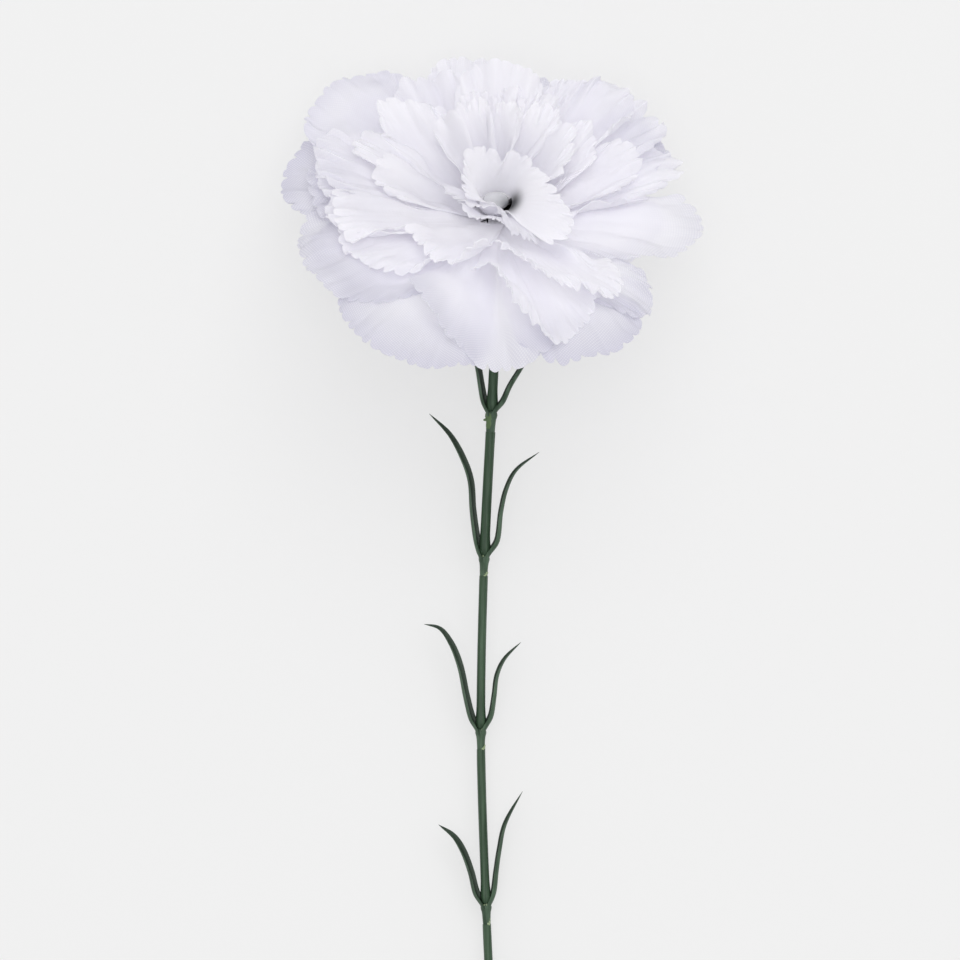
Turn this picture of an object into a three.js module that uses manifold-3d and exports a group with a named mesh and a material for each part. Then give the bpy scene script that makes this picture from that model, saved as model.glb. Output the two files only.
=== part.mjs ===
// An artificial cut carnation, lying on a surface with its bloom turned up.
// Millimetres, +Z up. The stem runs along Y with the bloom at its -Y end.
// The origin is the middle of the model's box, on the surface that it lies on.
import * as THREE from 'three';
import { LoftGeometry } from 'three/addons/geometries/LoftGeometry.js';
import { mergeVertices } from 'three/addons/utils/BufferGeometryUtils.js';
import Module from 'manifold-3d';

const wasm = await Module();
wasm.setup();

// ---- driving dimensions -------------------------------------------------

const GAP = 0.3; // clearance between pieces that touch in the real flower

// The bloom's own frame: +Z out of its face, base of the petals at its origin.
const BLOOM_CENTRE = new THREE.Vector3(-1.5, 0, 33.78);
const FACE_TILT = THREE.MathUtils.degToRad(48); // face direction, from straight up

// Stem, measured from the cut end (distance 0) to the end in the calyx.
const STEM_RADIUS = 0.98;
const STEM_TOP_RADIUS = 1.1; // above the second leaf pair
const STEM_SIDES = 10;
const CUT_END = new THREE.Vector3(-3.4, 259, 1.05);
const NECK_STRAIGHT = 5; // length that enters the calyx before the neck bends
const NODE_DISTANCES = [217.4, 184.1, 142.9, 101.6, 60.3, 19]; // leaf pair 1 is nearest to the bloom
const THICK_ABOVE = NODE_DISTANCES[1]; // the stem is thicker from this node up
const NECK_BEND_START = 222;
const NECK_BEND_STEP = 2.4; // between the rings that follow the bend

// Where a leaf pair sits: a necked seat below the node and a stop flare above it.
const SEAT_LENGTH = 4.6;
const SEAT_RADIUS = 0.74;
const SEAT_SHOULDER = 0.25; // slope at the seat's lower end
const FLARE_RADIUS = 1.35;
const FLARE_LENGTH = 3.6;
const FLARE_SHOULDER = 0.35; // slope at the flare's lower end

const WIRE_RADIUS = 0.33;
const WIRE_SIDES = 6;
const WIRE_BORE = 0.5;

// Leaf pair: a sleeve with two channelled leaves.
const LEAF_CLEARANCE = 0.24; // between a leaf pair and the stem inside it
const SLEEVE_BORE = SEAT_RADIUS + LEAF_CLEARANCE;
const SLEEVE_RADIUS = 1.36;
const SLEEVE_CHAMFER = 0.12;
const FLARE_ROOM_TOP = 2.6; // height over the node up to which the leaves leave room for the flare
const FLARE_ROOM_END = 4.4;
const LEAF_THICKNESS = 0.42;
const LEAF_STEPS = 11;
const SLEEVE_SIDES = 14;
const LEAF_ARC_POINTS = 4;

// Each leaf leaves the stem in a tight curve, runs beside it up to its shoulder
// and then turns out to its tip. Points are [distance from the stem axis, height above the node].
const LEAF_ROOT = [[1.42, -3.6], [1.5, -1.4], [2.15, 0.9], [2.95, 3.1]];
const LEAF_PAIRS = [
  { left: leaf([3.9, 11.5], [8.6, 24.0], 0.66), right: leaf([4.3, 9.6], [9.8, 22.6], 0.64) },
  { left: leaf([3.4, 19.0], [12.3, 32.0], 0.64), right: leaf([4.5, 12.6], [12.8, 23.7], 0.64) },
  { left: leaf([3.9, 13.2], [12.1, 23.7], 0.78), right: leaf([3.9, 10.4], [9.5, 19.3], 0.66) },
  { left: leaf([4.2, 9.4], [10.8, 18.6], 0.74), right: leaf([3.1, 13.6], [8.2, 25.6], 0.7) },
  { left: leaf([3.6, 12.8], [11.6, 24.2], 0.7), right: leaf([3.8, 14.6], [11.0, 26.4], 0.68) },
  { left: leaf([3.9, 11.6], [10.4, 21.8], 0.72), right: leaf([3.5, 10.8], [11.4, 22.6], 0.68) },
];

// Calyx cup and the peg that holds the petal layers, in the bloom's frame.
const CALYX_LENGTH = 27;
const CALYX_OUTSIDE = [[2.1, 0], [2.5, 0.8], [3.9, 3.2], [4.6, 7], [5.3, 15]]; // [radius, height]
const CALYX_SHOULDER_RADIUS = 5.9;
const CALYX_MOUTH_RADIUS = 6.5;
const CALYX_LIP = 0.6; // wall thickness at the mouth
const CALYX_CUP_RADIUS = 5; // of the cup's floor
const CALYX_CUP_DEPTH = 5.4;
const CALYX_TEETH = 5;
const CALYX_TOOTH_DEPTH = 3.4;
const CALYX_SIDES = 30;
const STEM_SOCKET_DEPTH = 6;
const STEM_SOCKET_RADIUS = STEM_TOP_RADIUS + GAP;
const PEG_RADIUS = 0.9;
const PEG_SIDES = 10;
const PEG_DEPTH = 15;
const PEG_TIP_CHAMFER = 0.3;
const PEG_HEAD_RADIUS = 3;
const PEG_HEAD_THICKNESS = 0.9;
const PEG_HEAD_CHAMFER = 0.4;

// Petal layers, from the outermost to the centre funnel: rim radius, rim height above the
// petal base, lean (how much lower its front stands than its middle), number of lobes and
// turn of the first lobe in degrees. Two lobes of the outermost layer touch the surface.
const LAYERS = [
  { rim: 48.6, height: 0.8, lean: 0, lobes: 8, turn: 22.5, sides: 48 },
  { rim: 48.2, height: 6.2, lean: 1, lobes: 8, turn: 0, sides: 48 },
  { rim: 46.5, height: 11.4, lean: 2.6, lobes: 8, turn: 22.5, sides: 48 },
  { rim: 43.0, height: 16.2, lean: 3.6, lobes: 8, turn: 5, sides: 48 },
  { rim: 37.0, height: 19.6, lean: 3.8, lobes: 8, turn: 25, sides: 48 },
  { rim: 29.5, height: 21.4, lean: 3.4, lobes: 6, turn: 0, sides: 36 },
  { rim: 21.5, height: 21.4, lean: 2.6, lobes: 6, turn: 30, sides: 30 },
  { rim: 13.5, height: 15.6, lean: 1.4, lobes: 4, turn: 0, sides: 24 },
];
const LAYER_HOLE = PEG_RADIUS + GAP;
const LAYER_THICKNESS = 0.5;
const LAYER_PITCH = 0.85; // from one layer to the next at the peg
const LAYER_FLAT = 4; // radius of the flat middle round the hole
const NOTCH_DEPTH = 0.17; // how far the gap between two lobes reaches in, as a part of the rim radius
const RIM_WAVE = 0.8;
const RADIAL_STOPS = [0.4, 0.72, 1];

// ---- materials ------------------------------------------------------------

function material(colour, roughness, metalness = 0) {
  return new THREE.MeshStandardMaterial({ color: colour, roughness, metalness });
}

const GREEN_STEM = 0x465a48;
const GREEN_LEAF = 0x40553f;
const GREEN_CALYX = 0x4d6a48;
const PALE_PEG = 0xc9c9ce;
const STEEL = 0x8a8d8f;
const WHITE_FABRIC = 0xf2f2f7;

// ---- geometry helpers -----------------------------------------------------

function leaf(shoulder, tip, curl) {
  return { shoulder, tip, curl };
}

// A value read from [position, value] stops, straight between them.
function ramp(stops, position) {
  const next = stops.findIndex(([stop]) => stop >= position);
  if (next === -1) return stops[stops.length - 1][1];
  if (next === 0) return stops[0][1];
  const [low, lowValue] = stops[next - 1];
  const [high, highValue] = stops[next];
  return THREE.MathUtils.mapLinear(position, low, high, lowValue, highValue);
}

// A solid of revolution about +Z from [radius, height] points.
function revolve(profile, sides) {
  const points = profile.map(([radius, height]) => new THREE.Vector2(radius, height));
  return new THREE.LatheGeometry(points, sides).rotateX(Math.PI / 2);
}

// Moves every vertex by a function that changes it in place.
function warp(geometry, change) {
  const position = geometry.attributes.position;
  const vertex = new THREE.Vector3();
  for (let index = 0; index < position.count; index += 1) {
    vertex.fromBufferAttribute(position, index);
    change(vertex);
    position.setXYZ(index, vertex.x, vertex.y, vertex.z);
  }
  return geometry;
}

function toManifold(geometry) {
  const bare = new THREE.BufferGeometry();
  bare.setAttribute('position', geometry.attributes.position);
  bare.setIndex(geometry.index);
  const merged = mergeVertices(bare, 1e-4);
  const vertProperties = new Float32Array(merged.attributes.position.array);
  const corners = Array.from(merged.index.array);
  const triVerts = [];
  for (let start = 0; start < corners.length; start += 3) {
    const [a, b, c] = corners.slice(start, start + 3);
    if (a !== b && b !== c && c !== a) triVerts.push(a, b, c);
  }
  const mesh = new wasm.Mesh({ numProp: 3, vertProperties, triVerts: new Uint32Array(triVerts) });
  return new wasm.Manifold(mesh);
}

function toGeometry(manifold) {
  const mesh = manifold.getMesh();
  const geometry = new THREE.BufferGeometry();
  geometry.setAttribute('position', new THREE.BufferAttribute(mesh.vertProperties, 3));
  geometry.setIndex(new THREE.BufferAttribute(mesh.triVerts, 1));
  geometry.computeVertexNormals();
  return geometry;
}

function piece(name, geometry, finish) {
  const mesh = new THREE.Mesh(geometry, finish);
  mesh.name = name;
  return mesh;
}

// ---- stem route -----------------------------------------------------------

const bloom = new THREE.Group();
bloom.position.copy(BLOOM_CENTRE);
bloom.rotation.x = FACE_TILT;
bloom.updateMatrixWorld(true);

// A point on the bloom's axis, this far behind the petal base.
function behindBloom(distance) {
  return bloom.localToWorld(new THREE.Vector3(0, 0, -distance));
}

// From the cut end to the calyx: nearly level with a slight bow, then up into the bent neck.
const route = new THREE.CatmullRomCurve3([
  CUT_END,
  new THREE.Vector3(-2.6, 240, 2.3),
  new THREE.Vector3(-1.2, 199, 3.9),
  new THREE.Vector3(0.7, 157.7, 5.6),
  new THREE.Vector3(1.9, 118, 7.4),
  new THREE.Vector3(1.1, 76, 9.3),
  new THREE.Vector3(-0.6, 42, 10.8),
  new THREE.Vector3(-1.1, 32, 11.3),
  new THREE.Vector3(-1.4, 26, 12.2),
  behindBloom(CALYX_LENGTH),
  behindBloom(CALYX_LENGTH - NECK_STRAIGHT),
], false, 'centripetal');
route.arcLengthDivisions = 800;
const STEM_LENGTH = route.getLength();

const SIDEWAYS = new THREE.Vector3(1, 0, 0);

// The frame at a distance along the stem: X sideways, Z along the stem towards the bloom.
function stemFrame(distance) {
  const along = route.getTangentAt(distance / STEM_LENGTH);
  const across = SIDEWAYS.clone().addScaledVector(along, -SIDEWAYS.dot(along)).normalize();
  const up = new THREE.Vector3().crossVectors(along, across);
  return new THREE.Matrix4().makeBasis(across, up, along)
    .setPosition(route.getPointAt(distance / STEM_LENGTH));
}

// Bends a straight solid that stands on Z so that Z follows the stem's route.
function bendAlongStem(geometry) {
  return warp(geometry, (vertex) => {
    const distance = THREE.MathUtils.clamp(vertex.z, 0, STEM_LENGTH);
    const frame = stemFrame(distance);
    vertex.set(vertex.x, vertex.y, 0).applyMatrix4(frame);
  });
}

// ---- stem and wire --------------------------------------------------------

// Distances at which the bent solids need a ring, apart from the shoulders of the leaf seats.
function bendStops() {
  const stops = [0, ...NODE_DISTANCES];
  for (let pair = 0; pair + 1 < NODE_DISTANCES.length; pair += 1) {
    stops.push((NODE_DISTANCES[pair] + NODE_DISTANCES[pair + 1]) / 2);
  }
  for (let stop = NECK_BEND_START; stop < STEM_LENGTH - 1; stop += NECK_BEND_STEP) stops.push(stop);
  stops.push(STEM_LENGTH);
  return stops.sort((first, second) => first - second);
}

function stemRadius(distance) {
  return distance > THICK_ABOVE ? STEM_TOP_RADIUS : STEM_RADIUS;
}

function stemProfile() {
  const plain = bendStops().filter((stop) => !NODE_DISTANCES.includes(stop));
  const outside = plain.map((stop) => [stemRadius(stop), stop]);
  for (const node of NODE_DISTANCES) {
    const below = stemRadius(node - 1);
    const above = stemRadius(node + 1);
    outside.push([below, node - SEAT_LENGTH - GAP - SEAT_SHOULDER]);
    outside.push([SEAT_RADIUS, node - SEAT_LENGTH - GAP]);
    outside.push([SEAT_RADIUS, node + GAP]);
    outside.push([FLARE_RADIUS, node + GAP + FLARE_SHOULDER]);
    outside.push([(FLARE_RADIUS + above) / 2, node + 0.45 * FLARE_LENGTH]);
    outside.push([above, node + FLARE_LENGTH]);
  }
  outside.sort((first, second) => first[1] - second[1]);
  const bore = bendStops().map((stop) => [WIRE_BORE, stop]).reverse();
  return [...outside, ...bore, outside[0]];
}

function stemGeometry() {
  return bendAlongStem(revolve(stemProfile(), STEM_SIDES));
}

function wireGeometry() {
  const side = bendStops().map((stop) => [WIRE_RADIUS, stop]);
  return bendAlongStem(revolve([[0, 0], ...side, [0, STEM_LENGTH]], WIRE_SIDES));
}

// ---- leaf pairs -----------------------------------------------------------

// Half the leaf's width and the depth of its channel, from its base to its tip.
const HALF_WIDTH = [[0, 1.5], [0.12, 1.35], [0.3, 1.35], [0.5, 1.55], [0.75, 1.2], [0.92, 0.55], [1, 0.1]];
const CHANNEL = [[0, 1.25], [0.12, 1.0], [0.3, 0.72], [0.6, 0.62], [0.85, 0.35], [1, 0.03]];

function leafRoute({ shoulder, tip, curl }) {
  const bend = [
    THREE.MathUtils.lerp(shoulder[0], tip[0], 0.42),
    THREE.MathUtils.lerp(shoulder[1], tip[1], curl),
  ];
  const points = [...LEAF_ROOT, shoulder, bend, tip];
  return new THREE.CatmullRomCurve3(
    points.map(([outward, height]) => new THREE.Vector3(outward, 0, height)), false, 'centripetal');
}

// A crescent across the leaf: its hollow side faces the stem.
function leafSection(centre, outward, halfWidth, depth, thickness) {
  const radius = (halfWidth ** 2 + depth ** 2) / (2 * depth);
  const halfAngle = Math.atan2(halfWidth, radius - depth);
  const arc = (arcRadius, from, to) => Array.from({ length: LEAF_ARC_POINTS }, (_, index) => {
    const angle = THREE.MathUtils.lerp(from, to, index / (LEAF_ARC_POINTS - 1));
    return centre.clone()
      .addScaledVector(outward, arcRadius * Math.cos(angle) - radius)
      .add(new THREE.Vector3(0, arcRadius * Math.sin(angle), 0));
  });
  const inset = Math.min(thickness, 0.8 * radius);
  return [...arc(radius, -halfAngle, halfAngle), ...arc(radius - inset, 0.93 * halfAngle, -0.93 * halfAngle)];
}

function leafGeometry(shape) {
  const curve = leafRoute(shape);
  const sections = [];
  for (let step = 0; step <= LEAF_STEPS; step += 1) {
    const along = step / LEAF_STEPS;
    const tangent = curve.getTangentAt(along);
    const outward = new THREE.Vector3(tangent.z, 0, -tangent.x);
    const thickness = LEAF_THICKNESS * (1 - 0.45 * along);
    sections.push(leafSection(
      curve.getPointAt(along), outward, ramp(HALF_WIDTH, along), ramp(CHANNEL, along), thickness));
  }
  return new LoftGeometry(sections, { closed: true, capStart: true, capEnd: true });
}

// The room the stem needs inside a leaf pair: the seat's bore and the flare above it.
function stemRoom() {
  const bottom = -2 * SEAT_LENGTH;
  const top = 3 * FLARE_LENGTH;
  const flareRoom = FLARE_RADIUS + LEAF_CLEARANCE;
  const stemClear = STEM_TOP_RADIUS + GAP;
  return revolve([
    [0, bottom], [SLEEVE_BORE, bottom], [SLEEVE_BORE, 0], [flareRoom, GAP],
    [flareRoom, FLARE_ROOM_TOP], [stemClear, FLARE_ROOM_END], [stemClear, top], [0, top],
  ], SLEEVE_SIDES);
}

function sleeve() {
  const narrow = SLEEVE_RADIUS - SLEEVE_CHAMFER;
  return revolve([
    [0, -SEAT_LENGTH], [narrow, -SEAT_LENGTH], [SLEEVE_RADIUS, -SEAT_LENGTH + 3 * SLEEVE_CHAMFER],
    [SLEEVE_RADIUS, -2 * SLEEVE_CHAMFER], [narrow, 0], [0, 0],
  ], SLEEVE_SIDES);
}

function leafPairGeometry({ left, right }) {
  const rightLeaf = toManifold(leafGeometry(right)).rotate([0, 0, 180]);
  return toGeometry(toManifold(sleeve()).add(toManifold(leafGeometry(left))).add(rightLeaf)
    .subtract(toManifold(stemRoom())));
}

// ---- calyx and peg, in the bloom's frame ----------------------------------

function calyxGeometry() {
  const bottom = -CALYX_LENGTH;
  const mouth = -GAP;
  const socketEnd = bottom + STEM_SOCKET_DEPTH;
  const pegEnd = -PEG_DEPTH - GAP;
  const profile = [
    [0, socketEnd],
    [STEM_SOCKET_RADIUS, socketEnd],
    [STEM_SOCKET_RADIUS, bottom],
    ...CALYX_OUTSIDE.map(([radius, height]) => [radius, bottom + height]),
    [CALYX_SHOULDER_RADIUS, -CALYX_CUP_DEPTH],
    [CALYX_MOUTH_RADIUS, mouth],
    [CALYX_MOUTH_RADIUS - CALYX_LIP, mouth],
    [CALYX_CUP_RADIUS, -CALYX_CUP_DEPTH],
    [PEG_RADIUS + GAP, -CALYX_CUP_DEPTH],
    [PEG_RADIUS + GAP, pegEnd],
    [0, pegEnd],
  ];
  return warp(revolve(profile, CALYX_SIDES), (vertex) => {
    if (vertex.z < mouth - 1e-3) return;
    const turn = Math.atan2(vertex.y, vertex.x);
    const tooth = Math.abs(Math.cos(0.5 * CALYX_TEETH * turn));
    vertex.z -= CALYX_TOOTH_DEPTH * (1 - tooth);
  });
}

function pegGeometry() {
  const seat = (LAYERS.length - 1) * LAYER_PITCH + LAYER_THICKNESS + GAP;
  const top = seat + PEG_HEAD_THICKNESS;
  return revolve([
    [0, -PEG_DEPTH],
    [PEG_RADIUS - PEG_TIP_CHAMFER, -PEG_DEPTH],
    [PEG_RADIUS, -PEG_DEPTH + 3 * PEG_TIP_CHAMFER],
    [PEG_RADIUS, seat],
    [PEG_HEAD_RADIUS, seat],
    [PEG_HEAD_RADIUS - PEG_HEAD_CHAMFER, top],
    [0, top],
  ], PEG_SIDES);
}

// ---- petal layers, in the bloom's frame -----------------------------------

// Height of a layer's underside over the petal base at a radius.
function layerHeight({ rim, height }, base, radius) {
  const rise = Math.max(0, (radius - LAYER_FLAT) / (rim - LAYER_FLAT));
  return base + (height - base) * rise ** 1.7;
}

function layerGeometry(layer, index) {
  const base = index * LAYER_PITCH;
  const radii = [LAYER_HOLE, LAYER_FLAT, ...RADIAL_STOPS.map((stop) => stop * layer.rim)];
  const under = radii.map((radius) => [radius, layerHeight(layer, base, radius)]);
  const over = under.map(([radius, height]) => [radius, height + LAYER_THICKNESS]).reverse();
  const turn = THREE.MathUtils.degToRad(layer.turn);
  return warp(revolve([...under, ...over, under[0]], layer.sides), (vertex) => {
    const radius = Math.hypot(vertex.x, vertex.y);
    const outness = Math.max(0, (radius - LAYER_FLAT) / (layer.rim - LAYER_FLAT));
    const fromLobe = layer.lobes * (Math.atan2(vertex.y, vertex.x) - turn);
    const notch = (0.5 - 0.5 * Math.cos(fromLobe)) ** 2;
    const shrink = 1 - NOTCH_DEPTH * notch * outness ** 2;
    vertex.x *= shrink;
    vertex.y *= shrink;
    const front = vertex.y / Math.max(radius, 1e-6);
    vertex.z += (RIM_WAVE * Math.cos(fromLobe) - layer.lean * front) * outness ** 2;
  });
}

// ---- assembly -------------------------------------------------------------

const carnation = new THREE.Group();
carnation.add(bloom);
carnation.add(piece('stem', stemGeometry(), material(GREEN_STEM, 0.5)));
carnation.add(piece('stem_wire', wireGeometry(), material(STEEL, 0.4, 1)));

LEAF_PAIRS.forEach((pair, index) => {
  const mesh = piece(`leaf_pair_${index + 1}`, leafPairGeometry(pair), material(GREEN_LEAF, 0.45));
  mesh.applyMatrix4(stemFrame(NODE_DISTANCES[index]));
  carnation.add(mesh);
});

bloom.add(piece('calyx', calyxGeometry(), material(GREEN_CALYX, 0.5)));
bloom.add(piece('petal_peg', pegGeometry(), material(PALE_PEG, 0.5)));
LAYERS.forEach((layer, index) => {
  bloom.add(piece(`petal_layer_${index + 1}`, layerGeometry(layer, index), material(WHITE_FABRIC, 0.85)));
});

// The origin goes to the middle of the box, on the surface.
carnation.updateMatrixWorld(true);
const box = new THREE.Box3().setFromObject(carnation, true);
const middle = box.getCenter(new THREE.Vector3());
carnation.position.set(-middle.x, -middle.y, -box.min.z);

export default carnation;
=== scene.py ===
"""An artificial cut carnation that lies on a pale surface with its bloom turned up.

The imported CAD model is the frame. Eight layers of scalloped cloth stand for its plain cups,
and the calyx, peg, stem, wire and leaf pairs are made again here with finer shapes.
Lengths are in millimetres and angles in degrees until a mesh is written, in metres.
"""

import math
from dataclasses import dataclass
from functools import partial

import bmesh
import bpy
import numpy as np
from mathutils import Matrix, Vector

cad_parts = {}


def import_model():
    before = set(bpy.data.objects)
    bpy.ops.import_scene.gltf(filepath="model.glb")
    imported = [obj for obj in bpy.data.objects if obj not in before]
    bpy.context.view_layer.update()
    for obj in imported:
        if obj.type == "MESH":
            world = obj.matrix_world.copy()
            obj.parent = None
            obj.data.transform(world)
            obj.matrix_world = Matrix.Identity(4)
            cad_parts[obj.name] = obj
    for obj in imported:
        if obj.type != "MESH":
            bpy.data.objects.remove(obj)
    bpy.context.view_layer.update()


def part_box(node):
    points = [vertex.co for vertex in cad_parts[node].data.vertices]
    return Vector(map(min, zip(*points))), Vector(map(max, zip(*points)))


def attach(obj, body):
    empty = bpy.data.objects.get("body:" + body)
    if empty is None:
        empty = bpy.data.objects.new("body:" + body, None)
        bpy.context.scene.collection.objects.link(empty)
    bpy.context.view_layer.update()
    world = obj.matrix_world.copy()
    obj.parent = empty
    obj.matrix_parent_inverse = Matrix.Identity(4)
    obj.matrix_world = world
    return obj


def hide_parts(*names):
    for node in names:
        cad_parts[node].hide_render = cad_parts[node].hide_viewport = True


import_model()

MM = 0.001

# ---- the bloom's own frame ----
# Its Z points out of the flower's face and its Y up the face, away from the surface.

FACE_TILT = math.radians(48)
BASE_BEHIND_LAYER_1 = 1.4  # from the middle of layer 1's box back to the petals' base
BLOOM_X = np.array([1.0, 0.0, 0.0])
BLOOM_Y = np.array([0.0, math.cos(FACE_TILT), math.sin(FACE_TILT)])
BLOOM_Z = np.array([0.0, -math.sin(FACE_TILT), math.cos(FACE_TILT)])
BLOOM_AXES = np.array([BLOOM_X, BLOOM_Y, BLOOM_Z])
LAYER_1_LOW, LAYER_1_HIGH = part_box("petal_layer_1")
BLOOM_BASE = np.array((LAYER_1_LOW + LAYER_1_HIGH) / 2) / MM - BASE_BEHIND_LAYER_1 * BLOOM_Z


def from_bloom(points):
    """Points in the bloom's frame, in the row frame."""
    return points @ BLOOM_AXES + BLOOM_BASE


# ---- small helpers ----


def smooth_through(places, values, at):
    """A smooth curve through (place, value) pairs, read at other places."""
    slopes = np.gradient(values, places)
    at = np.clip(at, places[0], places[-1])
    index = np.clip(np.searchsorted(places, at, side="right") - 1, 0, len(places) - 2)
    span = places[index + 1] - places[index]
    t = (at - places[index]) / span
    start = (1 + 2 * t) * (1 - t) ** 2 * values[index] + t * (1 - t) ** 2 * span * slopes[index]
    end = t * t * (3 - 2 * t) * values[index + 1] - t * t * (1 - t) * span * slopes[index + 1]
    return start + end


def blurred(grid, times):
    """A grid of values softened across its rows and columns."""
    for _ in range(times):
        padded = np.pad(grid, 1, mode="edge")
        rows = 0.25 * padded[:-2] + 0.5 * padded[1:-1] + 0.25 * padded[2:]
        grid = 0.25 * rows[:, :-2] + 0.5 * rows[:, 1:-1] + 0.25 * rows[:, 2:]
    return grid


def widened(grid):
    """A grid in which each value grows to the highest of its neighbours."""
    padded = np.pad(grid, 1, mode="edge")
    rows = np.maximum(np.maximum(padded[:-2], padded[1:-1]), padded[2:])
    return np.maximum(np.maximum(rows[:, :-2], rows[:, 1:-1]), rows[:, 2:])


def unit(vectors):
    length = np.linalg.norm(vectors, axis=-1, keepdims=True)
    return vectors / np.maximum(length, 1e-9)


def travelled(points):
    """The distance along a line of points at each of them."""
    steps = np.linalg.norm(np.diff(points, axis=0), axis=1)
    return np.concatenate([[0], np.cumsum(steps)])


def around(radius, turn, height):
    """Points round the Z axis, at angles in radians."""
    return np.stack([radius * np.cos(turn), radius * np.sin(turn), height], axis=-1)


def quads(numbers):
    """Faces between the rows and columns of a grid of vertex numbers."""
    corners = (numbers[:-1, :-1], numbers[1:, :-1], numbers[1:, 1:], numbers[:-1, 1:])
    return np.stack(corners, axis=-1).reshape(-1, 4).tolist()


# ---- petals ----

HOLE_RADIUS = 1.3  # round the peg
ROOT_RADIUS = 3.6  # where the petals part from each other
LAYER_PITCH = 0.85
LAYER_HALF_THICKNESS = 0.25
CLOTH_THICKNESS = 0.17
CLOTH_GAP = 0.34  # between the middles of two layers of cloth that touch
MOST_LIFT = 3.0  # a petal is raised by no more than this to clear the cloth below it
MOST_DROP = 7.0  # and is lowered by no more than this to close a space under it
MOST_OPEN = 14.0  # a deeper space than this is left alone
NO_CLOTH = -50.0  # the height of the pile where no cloth lies
OUTLINE_STEPS = 600
TOOTH_STEPS = 6  # columns of the mesh in each scallop of the rim
FEWEST_TEETH = 5
TOOTH_FADE = 2.2  # how far in from the rim the mesh's rows follow the scallops
ROOT_ROWS = 5  # rows of wide faces near the root
RIM_ROWS = 21  # rows of narrow faces out to the rim
RIM_CROWDING = 1.45
ROOT_PART = 0.26  # the part of the petal's length that has wide faces
RIM_START = 0.72  # where on its length a petal starts to curl and frill
RIB_WAVE = 5.0
WEAVE_TURN = 37.0  # degrees from one layer's weave to the next
FLOOR_CLEARANCE = 0.2
FLOOR_SOFTNESS = 0.6
FIRST_PETAL_SEED = 41
FIRST_LEAF_SEED = 70


@dataclass
class Petal:
    """One petal of a layer. rim is a list of (azimuth, radius, height) along its outer edge."""

    rim: list
    root: tuple = ()  # azimuths of its two sides at the root, where its neighbours don't set them
    arch: float = 2.5  # how far its middle stands over the straight line to its rim
    steep: float = 0.2  # 1 rises first and then spreads, 0 rises evenly, -1 spreads first
    fold: float = 1.3  # depth of the soft folds at the rim
    waves: float = 2.0  # number of them from side to side
    grow: float = 1.6  # how late they deepen on the way to the rim
    sweep: float = 0.0  # degrees that its middle swings round from a straight line
    ridges: tuple = ()  # (place from -1 to 1, half width, height) of single folds
    curl: float = -0.8  # how far the rim's edge turns up, or down if negative
    frill: float = 0.85  # depth of the small waves of the rim
    frill_wave: float = 7.5  # length of one of them
    rib: float = 0.05  # depth of the fine ribs that run out to the rim
    crumple: float = 0.6  # unevenness all over
    droop: float = 3.0  # how far its sides hang under its middle, halfway out
    settle: float = 0.8  # how far it sinks into an open space under it, 1 onto the cloth below
    tooth: float = 3.1  # width of a scallop
    notch: float = 0.8  # depth of the notch between two scallops
    ragged: float = 0.22  # unevenness of the scallops
    corner: float = 0.22  # how much shorter the petal is at its sides


def rim_places(rim):
    """The rim's points in the bloom's frame, their places along it from -1 to 1, and its length."""
    azimuth, radius, height = np.array(rim, float).T
    points = around(radius, np.radians(azimuth), height)
    along = travelled(points)
    return (points, 2 * along / along[-1] - 1, azimuth), along[-1]


def petal_outline(petal, length, width, rng):
    """The flat outline of a petal with its scallops, as columns.

    Returns for each column its place across from -1 to 1, its length from 0 to 1 and the
    scallop's inward shift in the flat plane, across and along.
    """
    spread = 0.5 * width / length
    fine = np.linspace(-1, 1, OUTLINE_STEPS)
    top = 1 - petal.corner * np.abs(fine) ** 4
    flat = np.stack([length * top * np.sin(spread * fine), length * top * np.cos(spread * fine)], axis=1)
    distance = travelled(flat)
    teeth = max(FEWEST_TEETH, round(distance[-1] / petal.tooth))
    edges = np.linspace(0, 1, teeth + 1)
    edges[1:-1] += petal.ragged * rng.uniform(-1, 1, teeth - 1) / teeth
    inner = np.linspace(0, 1, TOOTH_STEPS + 1)[:-1]
    columns = [low + inner * (high - low) for low, high in zip(edges[:-1], edges[1:])]
    columns = np.concatenate([*columns, [1]])
    across = np.interp(columns * distance[-1], distance, fine)
    from_middle = np.append(np.tile(2 * inner - 1, teeth), 1)
    depth = petal.notch * (1 + 2.5 * petal.ragged * rng.uniform(-1, 1, teeth + 1))
    depth = np.repeat(depth, TOOTH_STEPS)[: len(columns)]
    shorter = 2.2 * petal.ragged * petal.notch * rng.uniform(0, 1, teeth + 1)
    shorter = np.interp(np.arange(len(columns)) / TOOTH_STEPS, np.arange(teeth + 1), shorter)
    inward = depth * (1 - np.sqrt(np.maximum(0, 1 - from_middle**2))) + shorter
    tangent = np.gradient(flat, axis=0)
    normal = unit(np.stack([-tangent[:, 1], tangent[:, 0]], axis=1))
    shift_across = -inward * np.interp(across, fine, normal[:, 0])
    shift_along = -inward * np.interp(across, fine, normal[:, 1])
    return across, np.interp(across, fine, top), shift_across, shift_along


def petal_rows():
    """Places of the mesh rows from the root, 0, to the rim, 1. They crowd towards the rim."""
    root = np.linspace(0, ROOT_PART, ROOT_ROWS, endpoint=False)
    rim = 1 - (1 - ROOT_PART) * np.linspace(1, 0, RIM_ROWS + 1) ** RIM_CROWDING
    return np.concatenate([root, rim])[:, None]


def soft_waves(across, count, rng):
    """Uneven folds from side to side, between about -1 and 1."""
    total = np.zeros_like(across)
    for share, scale in ((1.0, 1.0), (0.45, 1.9), (0.12, 3.3)):
        turns = count * scale * rng.uniform(0.85, 1.15)
        total += share * np.sin(math.pi * (turns * across + rng.uniform(0, 2)))
    return total / 1.4


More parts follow.
